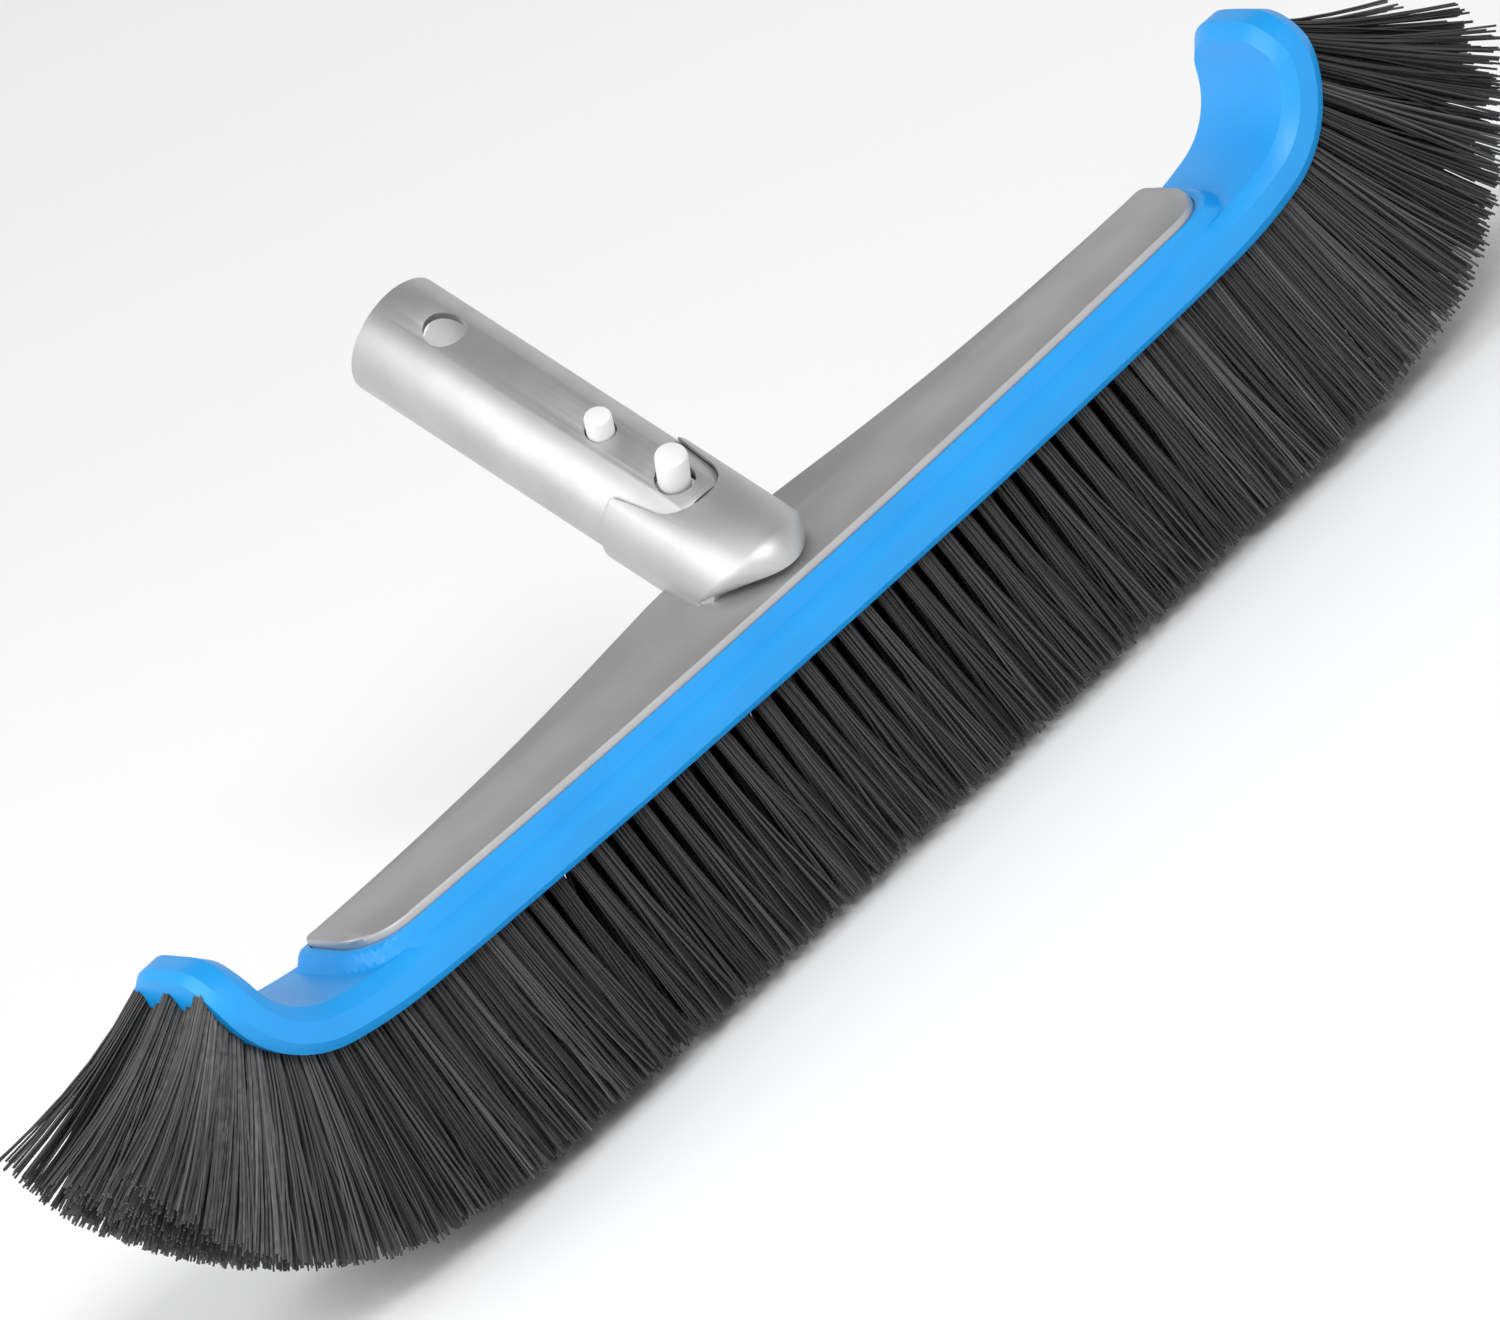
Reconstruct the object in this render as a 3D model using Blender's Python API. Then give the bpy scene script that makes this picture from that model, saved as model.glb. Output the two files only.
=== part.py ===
import math

import bmesh
import bpy
from mathutils import Matrix, Vector

MM = 0.001

GAP = 0.3 * MM  # left between neighbouring pieces

# brush block, measured along its curved underside
FLAT_HALF = 130.2 * MM
BOW_RADIUS = 4140 * MM
EASE_RADIUS = 115.4 * MM
EASE_ANGLE = 0.189
CURL_RADIUS = 29.6 * MM
CURL_ANGLE = 1.341
TIP_LENGTH = 5.8 * MM
HALF_LENGTH = FLAT_HALF + EASE_RADIUS * EASE_ANGLE + CURL_RADIUS * CURL_ANGLE + TIP_LENGTH
BLOCK_WIDTH = 36.6 * MM
BLOCK_MIDDLE = -3.2 * MM  # the block's centre line lies this far from the frame's
BLOCK_FRONT = BLOCK_WIDTH / 2 - BLOCK_MIDDLE
BLOCK_BACK = BLOCK_WIDTH / 2 + BLOCK_MIDDLE
BLOCK_CORNER = BLOCK_WIDTH / 2 - 5.3 * MM
FOOT_MIDDLE = (1.5 * MM, 1.0 * MM)  # height and inset of the lower bevel
FOOT_TIP = (2.5 * MM, 1.6 * MM)
WALL_MIDDLE = 6.5 * MM
WALL_TIP = 7.2 * MM
CHANGE_START = FLAT_HALF - 20 * MM  # where the section starts to change from middle to tip
CHANGE_REACH = 40 * MM
CHAMFER = 3.0 * MM
RIM_HEIGHT = 13.4 * MM
LIP_WIDTH = 2.4 * MM
LIP_SLOPE = 3.4 * MM
LIP_SQUEEZE = 2.7  # how much narrower the lip is along the sides than round the ends
LIP_RINGS = (0.4 * MM, 0.8 * MM, 1.2 * MM, 1.6 * MM, 2.0 * MM)
TOP_SHARES = (0.93, 0.86, 0.79, 0.72, 0.62, 0.5, 0.35, 0.18)
FLAT_STEPS = 16
END_STEPS = 22

# aluminium spine: a long plate with a tilted collar for the handle tube
PLATE_HALF = FLAT_HALF + 6.3 * MM
PLATE_FRONT = BLOCK_FRONT - 5.0 * MM
PLATE_BACK = BLOCK_BACK - 5.0 * MM
PLATE_FRONT_CORNER = PLATE_FRONT - 3.5 * MM
PLATE_BACK_CORNER = 2.5 * MM
PLATE_FLOOR = RIM_HEIGHT - 4.4 * MM
PLATE_TOP_END = RIM_HEIGHT + 2.0 * MM
PLATE_TOP_MIDDLE = RIM_HEIGHT + 3.0 * MM
PLATE_EDGE_ROUND = 1.1 * MM
PLATE_STEPS = 24
TONGUE_BACK = PLATE_BACK - 0.7 * MM
SHELF_LEVEL = RIM_HEIGHT + 0.35 * MM
FLARE_START = 18 * MM
FLARE_REACH = PLATE_HALF
FLARE_POWER = 1.6
FLARE_OUT = 6.0 * MM
FLARE_UP = 3.2 * MM
FLARE_THICKNESS = 3.0 * MM
FLARE_ROUND = 0.5 * MM
CREASE_START = 3.0 * MM
CREASE_REACH = 80 * MM
CREASE_MARGIN = 1.5 * MM

# handle: the tilted axis crosses the plane x = 0 at this height above the middle of the underside
TILT = math.radians(34.9)
AXIS_Y = 0.8 * MM
AXIS_Z = 15.0 * MM
TUBE_RADIUS = 14.1 * MM
TUBE_WALL = 2.0 * MM
TUBE_START = 14.5 * MM
TUBE_END = 108.2 * MM
TUBE_RIM_BEVEL = 0.4 * MM
CROSS_HOLE_AT = 91.2 * MM
CROSS_HOLE_RADIUS = 4.9 * MM
COLLAR_RADIUS = TUBE_RADIUS + GAP + 0.9 * MM
COLLAR_END = 32.2 * MM
COLLAR_BEVEL = 0.35 * MM
NOSE_Y = PLATE_FRONT - 0.9 * MM
NOSE_CENTRE_Y = 3.5 * MM
NOSE_ROUND = 4.0 * MM
NOSE_STEPS = 5
NOSE_SIDE_SHARE = 0.15  # how much of the rounding is left at the sides
NOTCH_HALF = 9.5 * MM
NOTCH_FLARE = 2.2 * MM
RELIEF_SIDE = 0.7 * MM
RELIEF_FRONT = TONGUE_BACK - 6 * MM
ACCESS_MARGIN = 0.9 * MM

# lock clip inside the tube: two sprung arms on a bent yoke
LOCK_PIN_AT = 44.5 * MM
LOCK_PIN_RADIUS = 3.15 * MM
LOCK_PIN_PROUD = 4.4 * MM
LOCK_PIN_LEAN = math.radians(5)
LOCK_HOLE_RADIUS = LOCK_PIN_RADIUS + 0.45 * MM
BUTTON_AT = 22.5 * MM
BUTTON_SETBACK = 0.3 * MM
BUTTON_RADIUS = 3.7 * MM
BUTTON_PROUD = 7.7 * MM
BUTTON_HOLE_RADIUS = BUTTON_RADIUS + 0.9 * MM
STUD_ROUND = 0.8 * MM
PIVOT_FROM_PIN = 30 * MM
ARM_WIDTH = 2 * BUTTON_RADIUS + 0.6 * MM
ARM_THICKNESS = 2.4 * MM
ARM_CLEARANCE = 0.5 * MM
ARM_PAST_BUTTON = BUTTON_RADIUS + 0.6 * MM
ARM_TIP_BEVEL = 1.2 * MM
ARM_DEPTH = 4.4 * MM

# fasteners and bristles
LAST_SCREW_AT = PLATE_HALF - 16.5 * MM
SCREW_PLACES = (LAST_SCREW_AT / 3, LAST_SCREW_AT * 2 / 3, LAST_SCREW_AT)
SCREW_RADIUS = 2.0 * MM
SCREW_HEAD_RADIUS = SCREW_RADIUS + 1.9 * MM
SCREW_HEAD_HEIGHT = 2.6 * MM
SCREW_HEAD_BEVEL = 0.7 * MM
SCREW_SINK = 0.6 * MM
SCREW_BITE = 4.0 * MM
SCREW_POINT = 1.2 * MM
SCREW_SLOT = 1.0 * MM
SCREW_STEPS = 20
BANK_REACH = HALF_LENGTH - 9.0 * MM
BANK_COUNT = round(2 * BANK_REACH / (13.0 * MM))
BANK_PITCH = 2 * BANK_REACH / BANK_COUNT
BANK_STEPS = 4
BRISTLE_LENGTH = 47.0 * MM
BRISTLE_ROOT_HALF = BLOCK_WIDTH / 2 - 3.2 * MM
BRISTLE_WAIST_HALF = BRISTLE_ROOT_HALF + 4.0 * MM
BRISTLE_TIP_HALF = BRISTLE_ROOT_HALF + 11.7 * MM
BRISTLE_TURN = 0.72
BRISTLE_END_FLARE = math.radians(5)
BRISTLE_FLARE_REACH = 2 * MM

CLEAR = 5 * MM  # how far cutters reach past what they cut
HAIR = 0.1 * MM
ARC_STEPS = 48
HOLE_STEPS = 32

COLOURS = {
    "blue_polymer": ((0.02, 0.29, 0.86, 1), 0.42, 0.0),
    "spine_aluminium": ((0.36, 0.36, 0.36, 1), 0.42, 0.9),
    "tube_aluminium": ((0.62, 0.62, 0.62, 1), 0.38, 0.9),
    "white_polymer": ((0.82, 0.82, 0.82, 1), 0.45, 0.0),
    "steel": ((0.55, 0.56, 0.58, 1), 0.3, 1.0),
    "bristle_nylon": ((0.035, 0.035, 0.036, 1), 0.55, 0.0),
}


def clear_scene():
    for old in list(bpy.data.objects):
        bpy.data.objects.remove(old)


def material(name):
    found = bpy.data.materials.get(name)
    if found:
        return found
    made = bpy.data.materials.new(name)
    made.use_nodes = True
    shader = made.node_tree.nodes["Principled BSDF"]
    colour, roughness, metallic = COLOURS[name]
    shader.inputs["Base Color"].default_value = colour
    shader.inputs["Roughness"].default_value = roughness
    shader.inputs["Metallic"].default_value = metallic
    return made


def smoothed(t):
    t = min(max(t, 0.0), 1.0)
    return t * t * (3 - 2 * t)


def turning(s):
    """Angle of the underside at a distance s from the middle."""
    s = abs(s)
    bow = min(s, FLAT_HALF) / BOW_RADIUS
    ease = min(max(s - FLAT_HALF, 0), EASE_RADIUS * EASE_ANGLE) / EASE_RADIUS
    past = s - FLAT_HALF - EASE_RADIUS * EASE_ANGLE
    curl = min(max(past, 0), CURL_RADIUS * CURL_ANGLE) / CURL_RADIUS
    return bow + ease + curl


def along(s):
    """Place (x, z) of the underside at a distance s from the middle."""
    left = abs(s)
    x = z = angle = 0.0
    stretches = ((FLAT_HALF, BOW_RADIUS), (EASE_RADIUS * EASE_ANGLE, EASE_RADIUS),
                 (CURL_RADIUS * CURL_ANGLE, CURL_RADIUS))
    for length, radius in stretches:
        step = min(left, length)
        end = angle + step / radius
        x += radius * (math.sin(end) - math.sin(angle))
        z += radius * (math.cos(angle) - math.cos(end))
        angle = end
        left -= step
        if left <= 0:
            break
    left = max(left, 0)
    x += left * math.cos(angle)
    z += left * math.sin(angle)
    return math.copysign(x, s), z


def bent(s, y, n):
    """A point of the straight block, bent to the curved one."""
    x, z = along(s)
    angle = math.copysign(turning(s), s)
    return Vector((x - n * math.sin(angle), y, z + n * math.cos(angle)))


def finish(name, mesh_data, surface, parent, sharp=35):
    mesh = bpy.data.meshes.new(name)
    bmesh.ops.recalc_face_normals(mesh_data, faces=mesh_data.faces)
    if mesh_data.calc_volume(signed=True) < 0:
        bmesh.ops.reverse_faces(mesh_data, faces=mesh_data.faces)
    mesh_data.to_mesh(mesh)
    mesh_data.free()
    mesh.materials.append(material(surface))
    mesh.shade_smooth()
    mesh.set_sharp_from_angle(angle=math.radians(sharp))
    made = bpy.data.objects.new(name, mesh)
    bpy.context.scene.collection.objects.link(made)
    made.parent = parent
    return made


def cutter(name, mesh_data, parent):
    made = finish(name, mesh_data, "steel", parent)
    made.hide_render = True
    made.display_type = "WIRE"
    return made


def cut(target, tool, operation="DIFFERENCE"):
    step = target.modifiers.new(tool.name, "BOOLEAN")
    step.operation = operation
    step.solver = "EXACT"
    step.object = tool


def loft(sections, bands=0):
    """Joins equal closed sections with quads; an end is one face above the asked number of quads."""
    made = bmesh.new()
    rows = [[made.verts.new(p) for p in section] for section in sections]
    count = len(rows[0])
    for near, far in zip(rows, rows[1:]):
        for i in range(count):
            j = (i + 1) % count
            made.faces.new((near[i], near[j], far[j], far[i]))
    for row in (rows[0], rows[-1]):
        for i in range(bands):
            made.faces.new((row[i], row[i + 1], row[count - 2 - i], row[count - 1 - i]))
        made.faces.new(row[bands:count - bands])
    return made


def drum(radius, start, end, steps=ARC_STEPS):
    """A round bar along +Z from start to end."""
    made = bmesh.new()
    bmesh.ops.create_cone(made, cap_ends=True, segments=steps, radius1=radius, radius2=radius,
                          depth=end - start, matrix=Matrix.Translation((0, 0, (start + end) / 2)))
    return made


def prism(outline, low, high):
    """A solid between x = low and x = high with an outline of (y, z)."""
    return loft([[Vector((x, y, z)) for y, z in outline] for x in (low, high)])


def crosswise(frame, place):
    """A frame across the tube at a distance along it, with +Z on its lower side."""
    return frame @ Matrix.Translation((0, 0, place)) @ Matrix.Rotation(math.radians(90), 4, "X")


def stations(half, corner):
    """Distances for one half of an outline: even steps, close ones where it curls, then its corner."""
    straight = half - corner
    places = [i * FLAT_HALF / FLAT_STEPS for i in range(FLAT_STEPS)]
    places += [FLAT_HALF + (straight - FLAT_HALF) * i / END_STEPS for i in range(END_STEPS + 1)]
    lip = LIP_WIDTH + LIP_SLOPE
    places += [PLATE_HALF - 2 * lip + i * lip / 4 for i in range(13)]
    return [(s, None) for s in sorted(places)] + [(straight, math.radians(a)) for a in range(80, -1, -10)]


def plate_distance(s, y):
    """How far a point of the top lies outside the plate's outline; across it counts for more."""
    side = PLATE_FRONT if y < 0 else PLATE_BACK
    corner = PLATE_FRONT_CORNER if y < 0 else PLATE_BACK_CORNER
    across = abs(y) - side
    if across > 0:
        across *= LIP_SQUEEZE
    ds = abs(s) - PLATE_HALF + corner
    dy = across + corner
    if ds <= 0 or dy <= 0:
        return max(ds, dy) - corner
    return math.hypot(ds, dy) - corner


def between(low, high, share):
    return low + (high - low) * share


def block_section(s, angle, side):
    """One half (front or back) of the block's section, from the underside up to the middle of the top."""
    half = BLOCK_FRONT if side < 0 else BLOCK_BACK
    change = smoothed((s - CHANGE_START) / CHANGE_REACH)
    foot = between(FOOT_MIDDLE[0], FOOT_TIP[0], change)
    foot_inset = between(FOOT_MIDDLE[1], FOOT_TIP[1], change)
    wall = between(WALL_MIDDLE, WALL_TIP, change)
    base = wall + CHAMFER

    def top_height(place, y):
        near = 1 - smoothed((plate_distance(place, y) - LIP_WIDTH) / LIP_SLOPE)
        return between(base, RIM_HEIGHT, near)

    rings = [(foot_inset, 0.0), (0.0, foot), (0.0, wall), (CHAMFER, base)]
    rings += [(CHAMFER + step, None) for step in LIP_RINGS]
    points = []
    for inset, height in rings:
        place, y = s, half - inset
        if angle is not None:
            place = s + (BLOCK_CORNER - inset) * math.cos(angle)
            y = half - BLOCK_CORNER + (BLOCK_CORNER - inset) * math.sin(angle)
        if height is None:
            height = top_height(place, side * y)
        points.append((place, side * y, height))
    place, y, _ = points[-1]
    for share in TOP_SHARES:
        points.append((place, y * share, top_height(place, y * share)))
    return points


def brush_block(root):
    half = stations(HALF_LENGTH, BLOCK_CORNER)
    sections = []
    for sign, order in ((-1, reversed(half[1:])), (1, half)):
        for s, angle in order:
            front = block_section(s, angle, -1)
            back = block_section(s, angle, 1)
            loop = front + back[::-1]
            sections.append([bent(sign * p[0], p[1], p[2]) for p in loop])
    bands = len(LIP_RINGS) + 2
    block = finish("brush_block", loft(sections, bands), "blue_polymer", root)
    cut(block, cutter("cut_pocket", pocket_shape(), root))
    cut(block, cutter("cut_collar_relief", relief_shape(), root))
    for tool in screw_holes(root):
        cut(block, tool)
    return block


def relief_shape():
    """A box that opens the back rim under the collar."""
    made = bmesh.new()
    size = (2 * (COLLAR_RADIUS + RELIEF_SIDE), BLOCK_WIDTH, 2 * RIM_HEIGHT)
    place = (0, RELIEF_FRONT + size[1] / 2, PLATE_FLOOR + size[2] / 2)
    bmesh.ops.create_cube(made, size=1, matrix=Matrix.Translation(place) @ Matrix.Diagonal((*size, 1)))
    return made


def outline_half_widths(s, front, back, front_corner, back_corner, half):
    """Front and back reach of a rounded outline at a distance s."""
    reach = []
    for side, corner in ((front, front_corner), (back, back_corner)):
        past = max(abs(s) - (half - corner), 0)
        reach.append(side - corner + math.sqrt(max(corner * corner - past * past, 0)))
    return reach


def plate_places(half, front_corner, back_corner):
    """Distances along half a plate: even, then close together round its corners."""
    straight = half - front_corner
    places = [straight * i / PLATE_STEPS for i in range(PLATE_STEPS + 1)]
    places += [straight + front_corner * math.sin(math.radians(a)) for a in range(10, 90, 10)]
    places += [half - back_corner + back_corner * math.sin(math.radians(a)) for a in (0, 30, 60)]
    places.append(half - HAIR / 5)
    return sorted(set(round(p, 8) for p in places))


def pocket_shape():
    """The plate's lower tongue grown by the gap all round and open at the top."""
    half, front, back = PLATE_HALF + GAP, PLATE_FRONT + GAP, TONGUE_BACK + GAP
    front_corner, back_corner = PLATE_FRONT_CORNER + GAP, PLATE_BACK_CORNER + GAP
    places = plate_places(half, front_corner, back_corner)
    sections = []
    for s in [-p for p in reversed(places[1:])] + places:
        ahead, behind = outline_half_widths(s, front, back, front_corner, back_corner, half)
        above = 2 * RIM_HEIGHT
        loop = ((-ahead, PLATE_FLOOR), (-ahead, above), (behind, above), (behind, PLATE_FLOOR))
        sections.append([bent(s, y, n) for y, n in loop])
    return loft(sections)


def screw_holes(root):
    """A stepped cutter for each screw: head recess and shank hole."""
    for sign in (-1, 1):
        for place in SCREW_PLACES:
            shape = bmesh.new()
            recess = SCREW_SINK + SCREW_HEAD_HEIGHT + GAP
            wide, narrow, top = SCREW_HEAD_RADIUS + GAP, SCREW_RADIUS + GAP, PLATE_FLOOR + CLEAR
            profile = ((0, -CLEAR), (wide, -CLEAR), (wide, recess), (narrow, recess),
                       (narrow, top), (0, top))
            spun(shape, profile, SCREW_STEPS)
            shape.transform(screw_frame(sign * place))
            yield cutter(f"cut_screw_{sign * place / MM:.0f}", shape, root)


def screw_frame(place):
    x, z = along(place)
    angle = math.copysign(turning(place), place)
    return Matrix.Translation((x, BLOCK_MIDDLE, z)) @ Matrix.Rotation(-angle, 4, "Y")


def spun(made, profile, steps):
    """Turns a profile of (radius, height) about Z; its ends lie on the axis."""
    rows = []
    for radius, height in profile:
        if radius == 0:
            rows.append([made.verts.new((0, 0, height))] * steps)
            continue
        turns = [2 * math.pi * i / steps for i in range(steps)]
        rows.append([made.verts.new((radius * math.cos(a), radius * math.sin(a), height))
                     for a in turns])
    for low, high in zip(rows, rows[1:]):
        for i in range(steps):
            j = (i + 1) % steps
            corners = []
            for corner in (low[i], low[j], high[j], high[i]):
                if corner not in corners:
                    corners.append(corner)
            made.faces.new(corners)
    return made


def tube_frame():
    """Maps +Z to the handle's axis and +Y to its upper side, where the nearer thumb button is."""
    axis = Vector((0, math.cos(TILT), math.sin(TILT)))
    upper = Vector((0, -math.sin(TILT), math.cos(TILT)))
    turn = Matrix((Vector((-1, 0, 0)), upper, axis)).transposed().to_4x4()
    return Matrix.Translation((0, AXIS_Y, AXIS_Z)) @ turn


def plate_section(s):
    ahead, behind = outline_half_widths(s, PLATE_FRONT, PLATE_BACK, PLATE_FRONT_CORNER,
                                        PLATE_BACK_CORNER, PLATE_HALF)
    _, tongue = outline_half_widths(s, PLATE_FRONT, TONGUE_BACK, PLATE_FRONT_CORNER,
                                    PLATE_BACK_CORNER, PLATE_HALF)
    top = PLATE_TOP_END + (PLATE_TOP_MIDDLE - PLATE_TOP_END) * (1 - smoothed(abs(s) / CREASE_REACH))
    flare = max(1 - max(abs(s) - FLARE_START, 0) / (FLARE_REACH - FLARE_START), 0) ** FLARE_POWER
    back = behind + FLARE_OUT * flare
    rise = top + FLARE_UP * flare
    crease = between(CREASE_START, behind - CREASE_MARGIN, min(abs(s) / CREASE_REACH, 1))
    crease = min(crease, behind - CREASE_MARGIN)
    low = PLATE_FLOOR + GAP
    under = max(SHELF_LEVEL, rise - FLARE_THICKNESS)
    edge = PLATE_EDGE_ROUND
    front_top = min(top, PLATE_TOP_END)
    loop = [(-ahead, low), (-ahead, front_top - edge), (-ahead + edge * 0.3, front_top - edge * 0.3),
            (-ahead + edge, front_top), ((crease - ahead) / 2, (top + front_top) / 2 + HAIR),
            (crease, top)]
    for share in (0.4, 0.75):
        loop.append((between(crease, back - FLARE_ROUND, share), between(top, rise, share ** 1.7)))
    loop += [(back - FLARE_ROUND, rise), (back, rise - FLARE_ROUND), (back, under),
             (tongue, SHELF_LEVEL), (tongue, low)]
    return [bent(s, y, n) for y, n in loop]


def spine_casting(root):
    places = plate_places(PLATE_HALF, PLATE_FRONT_CORNER, PLATE_BACK_CORNER)
    sections = [plate_section(s) for s in [-p for p in reversed(places[1:])] + places]
    plate = finish("spine_casting", loft(sections), "spine_aluminium", root)
    cut(plate, cutter("join_collar", collar_shape(), root), "UNION")
    frame = tube_frame()
    bore = drum(TUBE_RADIUS + GAP, TUBE_START - GAP, COLLAR_END + CLEAR)
    bore.transform(frame)
    cut(plate, cutter("cut_collar_bore", bore, root))
    notch = notch_shape()
    notch.transform(frame)
    cut(plate, cutter("cut_button_notch", notch, root))
    access = drum(BUTTON_HOLE_RADIUS + ACCESS_MARGIN, TUBE_RADIUS - TUBE_WALL,
                  TUBE_RADIUS + BUTTON_PROUD + GAP, HOLE_STEPS)
    access.transform(crosswise(frame, BUTTON_AT))
    cut(plate, cutter("cut_lower_access", access, root))
    for sign in (-1, 1):
        for place in SCREW_PLACES:
            hole = drum(SCREW_RADIUS + GAP, PLATE_FLOOR - CLEAR,
                        PLATE_FLOOR + GAP + SCREW_BITE + GAP, SCREW_STEPS)
            hole.transform(screw_frame(sign * place))
            cut(plate, cutter(f"cut_tapping_{sign * place / MM:.0f}", hole, root))
    return plate


def collar_shape():
    """A round collar with a rounded nose, oval from above and level with the plate's underside."""
    rings = []
    for i in range(NOSE_STEPS + 1):
        angle = math.pi / 2 * (1 - i / NOSE_STEPS)
        inset = NOSE_ROUND * (1 - math.cos(angle))
        rings.append((inset, NOSE_ROUND * (1 - math.sin(angle)), None))
    rings.append((0.0, 0.0, COLLAR_END - COLLAR_BEVEL))
    rings.append((COLLAR_BEVEL, 0.0, COLLAR_END))
    frame = tube_frame()
    sections = []
    for inset, back, level in rings:
        section = []
        for i in range(ARC_STEPS):
            angle = 2 * math.pi * i / ARC_STEPS
            front = max(math.cos(angle), 0.0)
            share = 1.0 if level else between(NOSE_SIDE_SHARE, 1.0, front)
            radius = COLLAR_RADIUS - inset * share
            up = radius * math.cos(angle)
            place = level
            if place is None:
                nose = between(NOSE_CENTRE_Y, -NOSE_Y, front)
                place = (up * math.sin(TILT) + nose - AXIS_Y) / math.cos(TILT) + back * share
            section.append(frame @ Vector((radius * math.sin(angle), up, place)))
        sections.append(section)
    made = loft(sections)
    parts = made.verts[:] + made.edges[:] + made.faces[:]
    trimmed = bmesh.ops.bisect_plane(made, geom=parts, dist=1e-7, plane_no=(0, 0, 1), clear_inner=True,
                                     plane_co=(0, 0, PLATE_FLOOR + GAP + HAIR))
    rim = [e for e in trimmed["geom_cut"] if isinstance(e, bmesh.types.BMEdge)]
    bmesh.ops.holes_fill(made, edges=rim)
    return made


def notch_shape():
    """A U-shaped cutter, open towards the tube's free end, over the thumb button."""
    outline = []
    for i in range(13):
        angle = math.pi + math.pi * i / 12
        outline.append((NOTCH_HALF * math.cos(angle), BUTTON_AT + NOTCH_HALF * math.sin(angle)))
    mouth = NOTCH_HALF + NOTCH_FLARE
    outline += [(mouth, COLLAR_END + CLEAR), (-mouth, COLLAR_END + CLEAR)]
    levels = (TUBE_RADIUS / 2, COLLAR_RADIUS + CLEAR)
    return loft([[Vector((x, y, z)) for x, z in outline] for y in levels])


def handle_tube(root):
    frame = tube_frame()
    outer = drum(TUBE_RADIUS, TUBE_START, TUBE_END)
    rim = [e for e in outer.edges if all(v.co.z > TUBE_END - 1e-6 for v in e.verts)]
    bmesh.ops.bevel(outer, geom=rim, offset=TUBE_RIM_BEVEL, segments=2, affect="EDGES")
    outer.transform(frame)
    tube = finish("handle_tube", outer, "tube_aluminium", root)
    bore = drum(TUBE_RADIUS - TUBE_WALL, TUBE_START - CLEAR, TUBE_END + CLEAR)
    bore.transform(frame)
    cut(tube, cutter("cut_tube_bore", bore, root))
    holes = (("cut_cross_hole", CROSS_HOLE_AT, CROSS_HOLE_RADIUS),
             ("cut_lock_holes", LOCK_PIN_AT, LOCK_HOLE_RADIUS),
             ("cut_button_holes", BUTTON_AT, BUTTON_HOLE_RADIUS))
    for name, place, radius in holes:
        hole = drum(radius, -TUBE_RADIUS - CLEAR, TUBE_RADIUS + CLEAR, HOLE_STEPS)
        hole.transform(crosswise(frame, place))
        cut(tube, cutter(name, hole, root))
    return tube


def arm_level():
    """Height of an arm's middle above the tube's axis."""
    inner = TUBE_RADIUS - TUBE_WALL
    top = math.sqrt(inner ** 2 - (ARM_WIDTH / 2) ** 2) - ARM_CLEARANCE
    return top - ARM_THICKNESS / 2


def clip_arm(name, side, root):
    """One sprung arm; its origin lies on its hinge axis."""
    level = arm_level()
    pivot = LOCK_PIN_AT + PIVOT_FROM_PIN
    half = ARM_THICKNESS / 2
    reach = pivot - BUTTON_AT + ARM_PAST_BUTTON
    outline = []
    for i in range(9):
        angle = -math.pi / 2 + math.pi * i / 8
        outline.append((half * math.sin(angle), half * math.cos(angle)))
    outline += [(half, ARM_TIP_BEVEL - reach), (half - ARM_TIP_BEVEL, -reach), (-half, -reach)]
    made = prism(outline, -ARM_WIDTH / 2, ARM_WIDTH / 2)
    frame = tube_frame()
    if side < 0:
        frame = frame @ Matrix.Rotation(math.pi, 4, "Z")
    holder = bpy.data.objects.new(name + "_hinge", None)
    bpy.context.scene.collection.objects.link(holder)
    holder.parent = root
    holder.matrix_local = frame @ Matrix.Translation((0, level, pivot))
    arm = finish(name, made, "white_polymer", holder)
    studs = (("pin", LOCK_PIN_AT, LOCK_PIN_RADIUS, TUBE_RADIUS + LOCK_PIN_PROUD, LOCK_PIN_LEAN),
             ("button", BUTTON_AT + BUTTON_SETBACK, BUTTON_RADIUS, TUBE_RADIUS + BUTTON_PROUD, 0.0))
    for label, place, radius, top, lean in studs:
        stud = bmesh.new()
        height = top - level
        soft = STUD_ROUND * 0.3
        profile = ((0, -half / 2), (radius, -half / 2), (radius, height - STUD_ROUND),
                   (radius - soft, height - soft), (radius - STUD_ROUND, height), (0, height))
        spun(stud, profile, HOLE_STEPS)
        wall_level = TUBE_RADIUS - TUBE_WALL / 2 - level
        turn = Matrix.Rotation(math.radians(-90) + lean, 4, "X")
        shift = place - pivot - wall_level * math.tan(lean)
        stud.transform(Matrix.Translation((0, 0, shift)) @ turn)
        cut(arm, cutter(f"join_{name}_{label}", stud, holder), "UNION")
    return arm


def clip_yoke(root):
    """The clip's fixed bend, which joins the two arms at their roots."""
    level = arm_level()
    half = ARM_THICKNESS / 2
    pivot = LOCK_PIN_AT + PIVOT_FROM_PIN
    start = pivot + half + GAP
    outer, inner = level + half, level - half
    depth = ARM_DEPTH
    line = [(outer, start)]
    line += [(outer * math.cos(a), start + depth * math.sin(a)) for a in arc_angles()]
    line += [(-outer, start), (-inner, start)]
    line += [(-inner * math.cos(a), start + (depth - ARM_THICKNESS) * math.sin(a)) for a in arc_angles()]
    line.append((inner, start))
    made = prism(line, -ARM_WIDTH / 2, ARM_WIDTH / 2)
    made.transform(tube_frame())
    return finish("clip_yoke", made, "white_polymer", root)


def arc_angles():
    return [math.pi * i / 12 for i in range(1, 12)]


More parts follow.
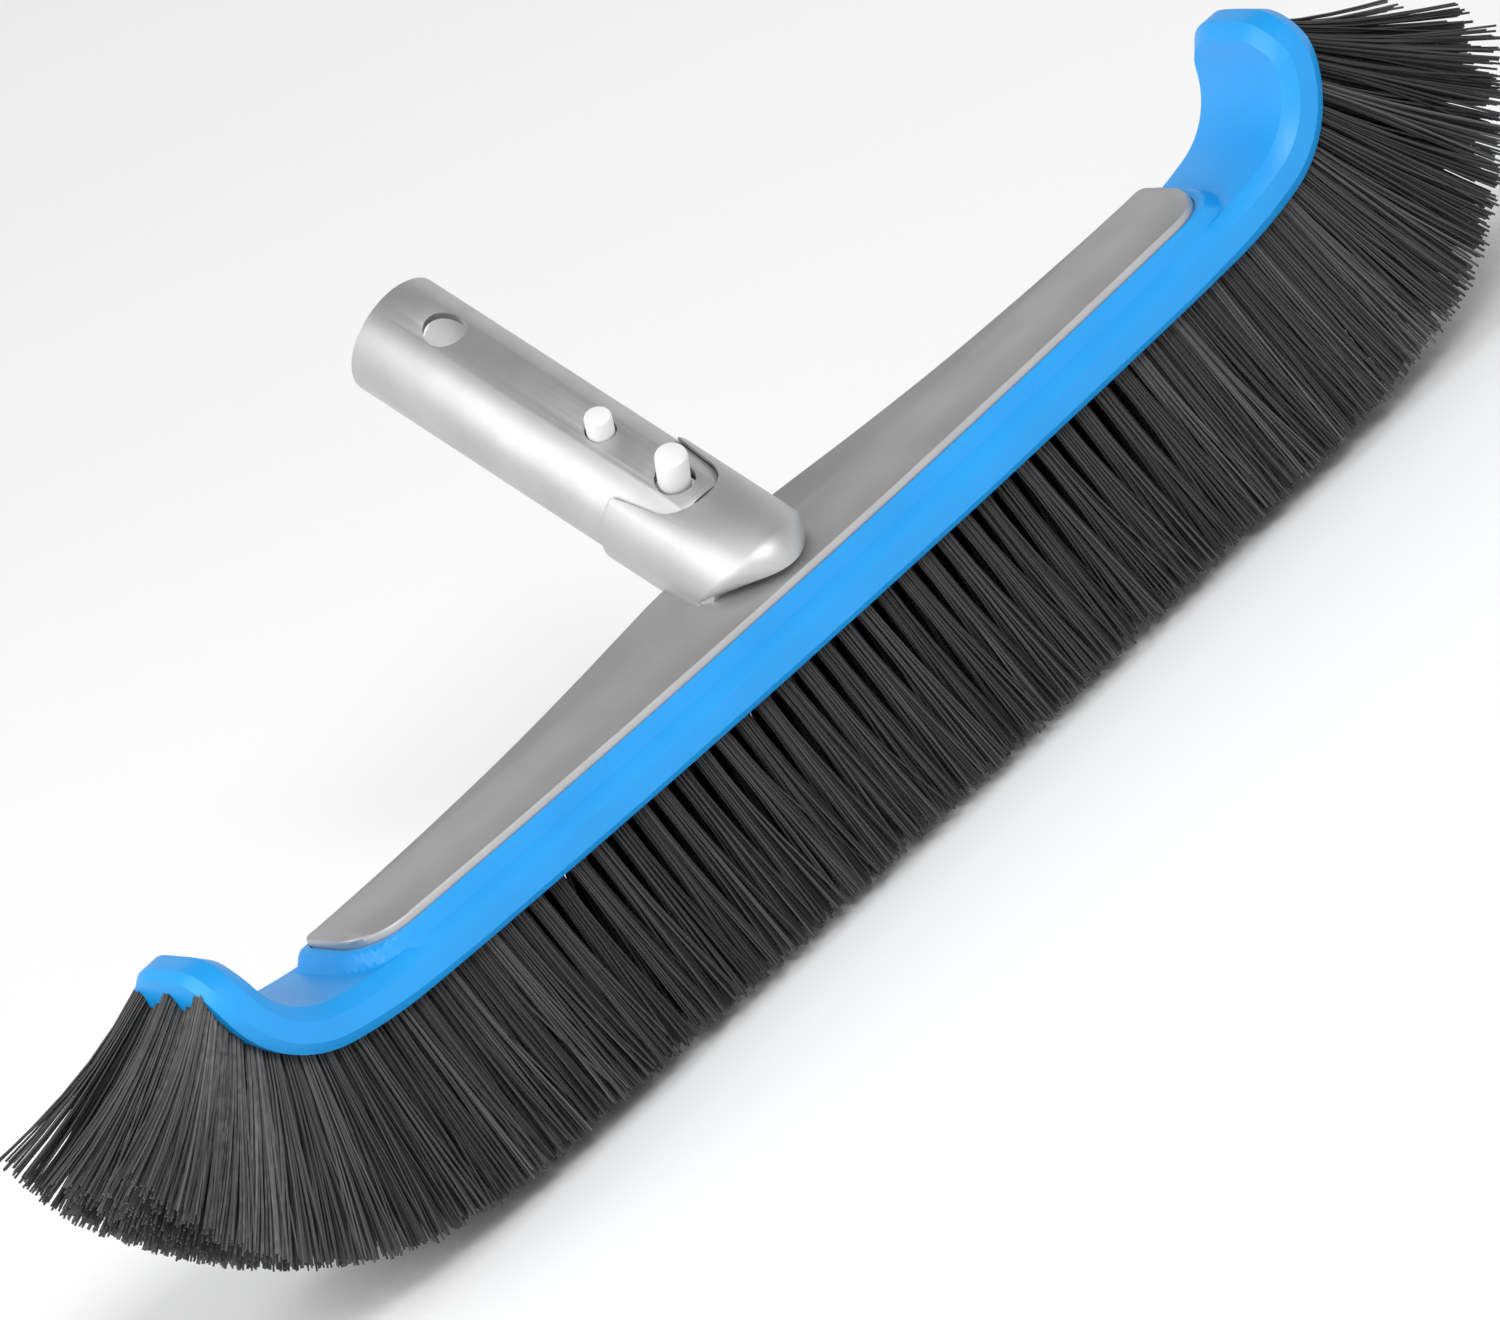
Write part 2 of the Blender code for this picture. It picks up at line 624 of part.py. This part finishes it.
def screw(number, place, root):
    head = SCREW_SINK + SCREW_HEAD_HEIGHT
    tip = PLATE_FLOOR + GAP + SCREW_BITE
    profile = ((0, SCREW_SINK + HAIR), (SCREW_HEAD_RADIUS - SCREW_HEAD_BEVEL, SCREW_SINK),
               (SCREW_HEAD_RADIUS, SCREW_SINK + SCREW_HEAD_BEVEL), (SCREW_HEAD_RADIUS, head),
               (SCREW_RADIUS, head), (SCREW_RADIUS, tip - SCREW_POINT),
               (SCREW_RADIUS / 2, tip), (0, tip))
    made = spun(bmesh.new(), profile, SCREW_STEPS)
    driver = bmesh.new()
    bmesh.ops.create_cube(driver, size=1, matrix=Matrix.Diagonal(
        (SCREW_HEAD_RADIUS * 1.2, SCREW_SLOT, SCREW_HEAD_HEIGHT, 1)))
    frame = screw_frame(place)
    made.transform(frame)
    driver.transform(frame)
    body = finish(f"plate_screw_{number}", made, "steel", root)
    cut(body, cutter(f"cut_driver_{number}", driver, root))
    return body


def bristle_direction(s):
    """Unit direction of the bristles rooted at a distance s from the middle."""
    angle = turning(s) * BRISTLE_TURN
    past = abs(s) - (BANK_COUNT * BANK_PITCH / 2 - BRISTLE_FLARE_REACH)
    angle += BRISTLE_END_FLARE * min(max(past / BRISTLE_FLARE_REACH, 0), 1)
    angle = math.copysign(angle, s)
    return Vector((math.sin(angle), 0, -math.cos(angle)))


def bristle_bank(number, root):
    """A closed block that stands for two columns of bristle tufts."""
    start = (number - BANK_COUNT / 2) * BANK_PITCH + GAP / 2
    length = BANK_PITCH - GAP
    places = [start + length * i / BANK_STEPS for i in range(BANK_STEPS + 1)]
    levels = ((0.0, BRISTLE_ROOT_HALF), (0.5, BRISTLE_WAIST_HALF), (1.0, BRISTLE_TIP_HALF))
    sections = []
    for share, half in levels:
        front, back = BLOCK_MIDDLE - half, BLOCK_MIDDLE + half
        row = [(s, front) for s in places] + [(s, back) for s in reversed(places)]
        sections.append([bent(s, y, -GAP) + bristle_direction(s) * BRISTLE_LENGTH * share
                         for s, y in row])
    made = loft(sections, BANK_STEPS - 1)
    return finish(f"bristle_bank_{number + 1:02d}", made, "bristle_nylon", root)


def centre_on_base(root):
    """Puts the origin below the middle of the whole object, at the bristle tips."""
    bpy.context.view_layer.update()
    graph = bpy.context.evaluated_depsgraph_get()
    low = Vector((1, 1, 1))
    high = -low
    for item in bpy.context.scene.objects:
        if item.type != "MESH" or item.hide_render:
            continue
        shape = item.evaluated_get(graph)
        for vertex in shape.data.vertices:
            place = shape.matrix_world @ vertex.co
            low = Vector(map(min, low, place))
            high = Vector(map(max, high, place))
    root.location = (-(low.x + high.x) / 2, -(low.y + high.y) / 2, -low.z)
    bpy.context.view_layer.update()
    print("base shift mm", [round(v / MM, 4) for v in root.location])
    print("size mm", [round(v / MM, 2) for v in high - low])


def main():
    clear_scene()
    root = bpy.data.objects.new("pool_wall_brush", None)
    bpy.context.scene.collection.objects.link(root)
    brush_block(root)
    spine_casting(root)
    handle_tube(root)
    clip_yoke(root)
    clip_arm("upper_clip_arm", 1, root)
    clip_arm("lower_clip_arm", -1, root)
    for number, place in enumerate([-p for p in reversed(SCREW_PLACES)] + list(SCREW_PLACES)):
        screw(number + 1, place, root)
    for number in range(BANK_COUNT):
        bristle_bank(number, root)
    centre_on_base(root)


main()
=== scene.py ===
import math
import random

import bpy
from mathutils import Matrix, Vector


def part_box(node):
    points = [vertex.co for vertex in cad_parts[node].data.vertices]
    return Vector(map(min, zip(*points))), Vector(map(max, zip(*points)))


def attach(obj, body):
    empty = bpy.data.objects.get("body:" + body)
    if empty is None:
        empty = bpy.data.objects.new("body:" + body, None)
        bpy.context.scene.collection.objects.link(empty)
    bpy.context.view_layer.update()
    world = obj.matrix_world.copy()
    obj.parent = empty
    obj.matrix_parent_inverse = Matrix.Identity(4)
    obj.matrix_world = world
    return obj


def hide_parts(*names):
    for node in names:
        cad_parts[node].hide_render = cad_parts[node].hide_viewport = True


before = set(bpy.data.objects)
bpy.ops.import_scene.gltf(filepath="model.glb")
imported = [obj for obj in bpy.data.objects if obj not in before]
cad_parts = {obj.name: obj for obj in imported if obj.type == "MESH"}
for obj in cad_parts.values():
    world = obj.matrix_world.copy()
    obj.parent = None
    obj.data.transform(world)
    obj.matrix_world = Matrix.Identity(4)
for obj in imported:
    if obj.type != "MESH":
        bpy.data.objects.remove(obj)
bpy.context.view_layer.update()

mm = 0.001
blockLow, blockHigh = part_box("brush_block")
underside = Vector((0, (blockLow.y + blockHigh.y) / 2, blockLow.z))  # middle of the block's underside

blockCurve = {
    "stretches": ((130.2 * mm, 4140 * mm), (21.81 * mm, 115.4 * mm), (39.69 * mm, 29.6 * mm)),
    "tipLength": 5.8 * mm,
}


def turnAt(s):
    # how far the underside has turned at a distance s from the middle
    left, angle = abs(s), 0.0
    for length, radius in blockCurve["stretches"]:
        angle += min(left, length) / radius
        left -= min(left, length)
    return math.copysign(angle, s)


def onBlock(s, y, n):
    # a point of the straightened block, bent to its real curve
    left, angle, x, z = abs(s), 0.0, 0.0, 0.0
    for length, radius in blockCurve["stretches"]:
        end = angle + min(left, length) / radius
        x += radius * (math.sin(end) - math.sin(angle))
        z += radius * (math.cos(angle) - math.cos(end))
        left -= min(left, length)
        angle = end
    x += left * math.cos(angle) - n * math.sin(angle)
    z += left * math.sin(angle) + n * math.cos(angle)
    return underside + Vector((math.copysign(x, s), y, z))


def newMaterial(name):
    made = bpy.data.materials.new(name)
    made.use_nodes = True
    tree = made.node_tree
    return made, tree, tree.nodes["Principled BSDF"]


def noiseFrom(tree, scale, detail=3.0, roughness=0.5):
    place = tree.nodes.new("ShaderNodeTexCoord")
    noise = tree.nodes.new("ShaderNodeTexNoise")
    noise.inputs["Scale"].default_value = scale
    noise.inputs["Detail"].default_value = detail
    noise.inputs["Roughness"].default_value = roughness
    tree.links.new(place.outputs["Object"], noise.inputs["Vector"])
    return noise


def rampBetween(tree, source, low, high, start=0.35, end=0.65):
    ramp = tree.nodes.new("ShaderNodeValToRGB")
    ramp.color_ramp.elements[0].position = start
    ramp.color_ramp.elements[1].position = end
    ramp.color_ramp.elements[0].color = low
    ramp.color_ramp.elements[1].color = high
    tree.links.new(source, ramp.inputs["Fac"])
    return ramp


def grey(value):
    return (value, value, value, 1)


def addBump(tree, shader, source, strength, distance):
    bump = tree.nodes.new("ShaderNodeBump")
    bump.inputs["Strength"].default_value = strength
    bump.inputs["Distance"].default_value = distance
    tree.links.new(source, bump.inputs["Height"])
    tree.links.new(bump.outputs["Normal"], shader.inputs["Normal"])


bluePlastic = {"deep": (0.003, 0.285, 0.72, 1), "light": (0.004, 0.31, 0.77, 1), "roughness": (0.36, 0.46)}


def makeBluePlastic():
    made, tree, shader = newMaterial("bluePlastic")
    cloud = noiseFrom(tree, 35, 2)
    colour = rampBetween(tree, cloud.outputs["Fac"], bluePlastic["deep"], bluePlastic["light"], 0.3, 0.7)
    tree.links.new(colour.outputs["Color"], shader.inputs["Base Color"])
    grain = noiseFrom(tree, 1800, 2, 0.6)
    low, high = bluePlastic["roughness"]
    rough = rampBetween(tree, grain.outputs["Fac"], grey(low), grey(high), 0.2, 0.8)
    tree.links.new(rough.outputs["Color"], shader.inputs["Roughness"])
    addBump(tree, shader, grain.outputs["Fac"], 0.12, 0.00008)
    return made


metal = {"dark": grey(0.48), "light": grey(0.54), "metallic": 0.85}


def makeMetal(name, cloudScale, grainScale, roughness, bump):
    made, tree, shader = newMaterial(name)
    cloud = noiseFrom(tree, cloudScale, 4)
    colour = rampBetween(tree, cloud.outputs["Fac"], metal["dark"], metal["light"], 0.3, 0.7)
    tree.links.new(colour.outputs["Color"], shader.inputs["Base Color"])
    shader.inputs["Metallic"].default_value = metal["metallic"]
    grain = noiseFrom(tree, grainScale, 3, 0.65)
    rough = rampBetween(tree, grain.outputs["Fac"], grey(roughness[0]), grey(roughness[1]), 0.25, 0.75)
    tree.links.new(rough.outputs["Color"], shader.inputs["Roughness"])
    addBump(tree, shader, grain.outputs["Fac"], bump, 0.00006)
    return made


def makeWhitePlastic():
    made, tree, shader = newMaterial("whitePlastic")
    cloud = noiseFrom(tree, 120, 2)
    colour = rampBetween(tree, cloud.outputs["Fac"], grey(0.74), grey(0.82), 0.3, 0.7)
    tree.links.new(colour.outputs["Color"], shader.inputs["Base Color"])
    grain = noiseFrom(tree, 2500, 2)
    rough = rampBetween(tree, grain.outputs["Fac"], grey(0.35), grey(0.5), 0.3, 0.7)
    tree.links.new(rough.outputs["Color"], shader.inputs["Roughness"])
    addBump(tree, shader, grain.outputs["Fac"], 0.06, 0.00005)
    return made


def makeScrewSteel():
    made, tree, shader = newMaterial("screwSteel")
    shader.inputs["Metallic"].default_value = 1.0
    grain = noiseFrom(tree, 900, 3)
    colour = rampBetween(tree, grain.outputs["Fac"], grey(0.45), grey(0.6))
    tree.links.new(colour.outputs["Color"], shader.inputs["Base Color"])
    rough = rampBetween(tree, grain.outputs["Fac"], grey(0.22), grey(0.38))
    tree.links.new(rough.outputs["Color"], shader.inputs["Roughness"])
    return made


nylon = {"dark": grey(0.010), "light": grey(0.095)}


def makeNylon():
    made, tree, shader = newMaterial("bristleNylon")
    # each filament has its own random tone, darkened by painted shade on the hidden inner rows, kept as an
    # attribute on its points
    shade = tree.nodes.new("ShaderNodeAttribute")
    shade.attribute_name = "shade"
    colour = rampBetween(tree, shade.outputs["Fac"], nylon["dark"], nylon["light"], 0.0, 1.0)
    tree.links.new(colour.outputs["Color"], shader.inputs["Base Color"])
    grain = noiseFrom(tree, 500, 2)
    rough = rampBetween(tree, grain.outputs["Fac"], grey(0.38), grey(0.55))
    tree.links.new(rough.outputs["Color"], shader.inputs["Roughness"])
    shader.inputs["Specular IOR Level"].default_value = 0.5
    return made


surfaces = {
    "blue_polymer": makeBluePlastic(),
    "spine_aluminium": makeMetal("castAluminium", 60, 2600, (0.44, 0.54), 0.10),
    "tube_aluminium": makeMetal("tubeAluminium", 90, 3000, (0.42, 0.52), 0.08),
    "white_polymer": makeWhitePlastic(),
    "steel": makeScrewSteel(),
    "bristle_nylon": makeNylon(),
}
print("materials ready")


def deselectAll():
    if bpy.context.object and bpy.context.object.mode != "OBJECT":
        bpy.ops.object.mode_set(mode="OBJECT")
    bpy.ops.object.select_all(action="DESELECT")


def makeActive(piece):
    deselectAll()
    piece.select_set(True)
    bpy.context.view_layer.objects.active = piece


def applyAll(piece):
    makeActive(piece)
    for modifier in list(piece.modifiers):
        bpy.ops.object.modifier_apply(modifier=modifier.name)


def roundedCopy(nodeName, pieceName, slotName, body, edgeRound, edgeAngle=38, smoothAngle=32):
    # a cleaned copy of the solid, with its sharp edges rounded
    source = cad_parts[nodeName]
    piece = bpy.data.objects.new(pieceName, source.data.copy())
    bpy.context.scene.collection.objects.link(piece)
    makeActive(piece)
    bpy.ops.object.mode_set(mode="EDIT")
    bpy.ops.mesh.select_all(action="SELECT")
    bpy.ops.mesh.remove_doubles(threshold=0.00002)
    bpy.ops.mesh.dissolve_limited(angle_limit=math.radians(0.3))
    bpy.ops.mesh.customdata_custom_splitnormals_clear()
    bpy.ops.object.mode_set(mode="OBJECT")
    if edgeRound:
        soft = piece.modifiers.new("edges", "BEVEL")
        soft.width = edgeRound
        soft.segments = 2
        soft.limit_method = "ANGLE"
        soft.angle_limit = math.radians(edgeAngle)
        applyAll(piece)
    makeActive(piece)
    bpy.ops.object.shade_smooth_by_angle(angle=math.radians(smoothAngle))
    piece.data.materials.clear()
    piece.data.materials.append(surfaces[slotName])
    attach(piece, body)
    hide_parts(nodeName)
    return piece


roundedCopy("brush_block", "blueBlock", "blue_polymer", "brush", 0.25 * mm, 40, 30)
roundedCopy("spine_casting", "castSpine", "spine_aluminium", "brush", 0.25 * mm, 40, 30)
roundedCopy("handle_tube", "poleSocket", "tube_aluminium", "brush", 0.15 * mm, 40, 30)
roundedCopy("clip_yoke", "clipBend", "white_polymer", "brush", 0.2 * mm)
roundedCopy("upper_clip_arm", "upperClip", "white_polymer", "upper_arm", 0)
roundedCopy("lower_clip_arm", "lowerClip", "white_polymer", "lower_arm", 0)
for number in range(1, 7):
    roundedCopy(f"plate_screw_{number}", f"plateScrew{number}", "steel", "brush", 0.12 * mm)
print("rigid pieces ready")


bristles = {
    "banks": 29,
    "bankPitch": 13.0 * mm,
    "rows": 5,
    "rowPitch": 6.0 * mm,
    "rootRadius": 1.95 * mm,
    "filaments": 36,
    "filamentRadius": 0.27 * mm,
    "length": 47.0 * mm,
    "lengthSpread": 1.6 * mm,
    "turnLeft": (0.66, 0.82),   # how much of the block's turn the tufts follow, at root and tip
    "turnRight": (0.58, 0.64),  # the right end is splayed less
    "rowLean": 0.29,            # outward lean of the outer rows, as a slope
    "fan": 0.10,                # how far a tuft's own filaments spread
    "swirl": 2.39996,           # angle from one filament of a tuft to the next
    "steps": 5,
    "seed": 7,
    "rootSink": 0.4 * mm,       # how far a filament starts inside the block
    "tuftLean": 0.03,
    "plainLean": 0.025,
    "strayLean": 0.06,
    "strayShare": 0.15,
    "innerRowPaintedShade": 0.45,         # painted shade: the hidden inner rows are painted darker than the outer ones
    "stagger": 0.12,            # shift of every other row, as a share of a bank
    "denseBanks": 7,            # banks with three columns at each end of the block
    "firstTufts": (-0.62, -0.36, -0.06, 0.25),
    "lastTufts": (-0.25, 0.2, 0.55),
}


def filamentPoints(s, y, lean, spread, length):
    # straight out of the block first, then fanning out
    low, high = bristles["turnLeft"] if s < 0 else bristles["turnRight"]
    place = onBlock(s, y, bristles["rootSink"])
    points = [place]
    step = length / bristles["steps"]
    for i in range(bristles["steps"]):
        share = (i + 0.5) / bristles["steps"]
        turn = turnAt(s) * (low + (high - low) * share)
        opening = min(max(share - 0.1, 0) * 2, 1)
        sideways = lean.x + spread.x * opening
        forwards = lean.y + spread.y * opening
        aim = Vector((math.sin(turn) + sideways * math.cos(turn), forwards,
                      -math.cos(turn) + sideways * math.sin(turn)))
        place = place + aim.normalized() * step
        points.append(place)
    return points


def addTuft(splines, s, row, chance):
    half = (bristles["rows"] - 1) / 2
    y = (row - half) * bristles["rowPitch"]
    lean = Vector((chance.uniform(-bristles["tuftLean"], bristles["tuftLean"]),
                   bristles["rowLean"] * (row - half) / half))
    for i in range(bristles["filaments"]):
        radius = math.sqrt((i + 0.5) / bristles["filaments"])
        angle = i * bristles["swirl"] + chance.uniform(-0.25, 0.25)
        px, py = radius * math.cos(angle), radius * math.sin(angle)
        rootS = s + px * bristles["rootRadius"]
        rootY = y + py * bristles["rootRadius"]
        wild = bristles["strayLean"] if chance.random() < bristles["strayShare"] else bristles["plainLean"]
        spread = Vector((px * bristles["fan"] + chance.gauss(0, wild),
                         py * bristles["fan"] + chance.gauss(0, wild)))
        length = bristles["length"] + chance.uniform(-1, 0.4) * bristles["lengthSpread"]
        splines.append(filamentPoints(rootS, rootY, lean, spread, length))


def tuftPlaces(number):
    # two columns of tufts in a bank, more of them towards the curled ends
    pitch = bristles["bankPitch"]
    middle = (number + 0.5 - bristles["banks"] / 2) * pitch
    if number == 0:
        return [middle + pitch * share for share in bristles["firstTufts"]]
    if number == bristles["banks"] - 1:
        return [middle + pitch * share for share in bristles["lastTufts"]]
    if number < bristles["denseBanks"] or number >= bristles["banks"] - bristles["denseBanks"]:
        return [middle - pitch / 3, middle, middle + pitch / 3]
    return [middle - pitch / 4, middle + pitch / 4]


def makeBank(number, chance):
    splines, rowPaintedShade = [], []
    for place in tuftPlaces(number):
        for row in range(bristles["rows"]):
            stagger = bristles["stagger"] if row % 2 else -bristles["stagger"]
            addTuft(splines, place + stagger * bristles["bankPitch"], row, chance)
            # painted shade: the outer rows keep their full tone, the hidden inner rows are painted darker
            outer = row in (0, bristles["rows"] - 1)
            rowPaintedShade += [1.0 if outer else bristles["innerRowPaintedShade"]] * bristles["filaments"]
    name = f"tufts{number + 1:02d}"
    curve = bpy.data.curves.new(name, "CURVE")
    curve.dimensions = "3D"
    curve.bevel_depth = bristles["filamentRadius"]
    curve.bevel_resolution = 0
    curve.use_fill_caps = True
    for points in splines:
        strand = curve.splines.new("POLY")
        strand.points.add(len(points) - 1)
        for point, place in zip(strand.points, points):
            point.co = (*place, 1)
    piece = bpy.data.objects.new(name, curve)
    bpy.context.scene.collection.objects.link(piece)
    makeActive(piece)
    bpy.ops.object.convert(target="MESH")
    piece = bpy.context.object
    bpy.ops.object.shade_smooth_by_angle(angle=math.radians(70))
    shadeFilaments(piece, rowPaintedShade, chance)
    piece.data.materials.clear()
    piece.data.materials.append(surfaces["bristle_nylon"])
    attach(piece, "brush")
    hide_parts(f"bristle_bank_{number + 1:02d}")


def shadeFilaments(piece, rowPaintedShade, chance):
    # one value for each filament, a random tone times the painted shade of its row, written on all its
    # points
    each = len(piece.data.vertices) // len(rowPaintedShade)
    shades = piece.data.attributes.new("shade", "FLOAT", "POINT")
    values = []
    for light in rowPaintedShade:
        values += [chance.uniform(0.2, 1) * light] * each
    shades.data.foreach_set("value", values)


chance = random.Random(bristles["seed"])
for number in range(bristles["banks"]):
    makeBank(number, chance)
print("bristles ready")


stage = {"floorSize": 14, "floorShade": 0.94, "horizon": 1.1, "zenith": 0.3}


def makeFloor():
    bpy.ops.mesh.primitive_plane_add(size=stage["floorSize"], location=(0, 0, -0.0005))
    floor = bpy.context.object
    floor.name = "studioFloor"
    made, tree, shader = newMaterial("paleFloor")
    shader.inputs["Base Color"].default_value = grey(stage["floorShade"])
    shader.inputs["Roughness"].default_value = 0.9
    floor.data.materials.append(made)


def makeWorld():
    # bright round the horizon, darker overhead
    world = bpy.data.worlds.new("studio")
    world.use_nodes = True
    tree = world.node_tree
    place = tree.nodes.new("ShaderNodeTexCoord")
    split = tree.nodes.new("ShaderNodeSeparateXYZ")
    tree.links.new(place.outputs["Generated"], split.inputs["Vector"])
    shade = rampBetween(tree, split.outputs["Z"], grey(stage["horizon"]), grey(stage["zenith"]), 0.05, 0.75)
    tree.links.new(shade.outputs["Color"], tree.nodes["Background"].inputs["Color"])
    bpy.context.scene.world = world


def addSoftbox(name, place, target, size, power):
    light = bpy.data.lights.new(name, "AREA")
    light.shape = "RECTANGLE"
    light.size, light.size_y = size
    light.energy = power
    lamp = bpy.data.objects.new(name, light)
    lamp.location = place
    lamp.rotation_euler = (Vector(target) - Vector(place)).to_track_quat("-Z", "Y").to_euler()
    bpy.context.scene.collection.objects.link(lamp)


camera = {
    "turn": (65.7550, 29.3406, -39.5751),  # degrees about x, y and z
    "place": (-1.55234, -3.00004, 1.29407),  # from the middle of the block's underside
    "lens": 400.33,
}


def makeCamera():
    lens = bpy.data.cameras.new("camera")
    lens.lens = camera["lens"]
    lens.sensor_width = 36
    lens.sensor_fit = "HORIZONTAL"
    lens.clip_end = 50
    holder = bpy.data.objects.new("camera", lens)
    holder.location = underside + Vector(camera["place"])
    holder.rotation_euler = [math.radians(angle) for angle in camera["turn"]]
    bpy.context.scene.collection.objects.link(holder)
    bpy.context.scene.camera = holder
    bpy.context.scene.view_settings.view_transform = "Standard"


makeFloor()
makeWorld()
addSoftbox("leftLight", (-1.9, 0.1, 1.5), (0, 0, 0.05), (2.0, 2.0), 36)
addSoftbox("frontLight", (-0.3, -2.0, 2.2), (0, 0, 0.05), (1.6, 1.0), 42)
makeCamera()
print("stage ready")
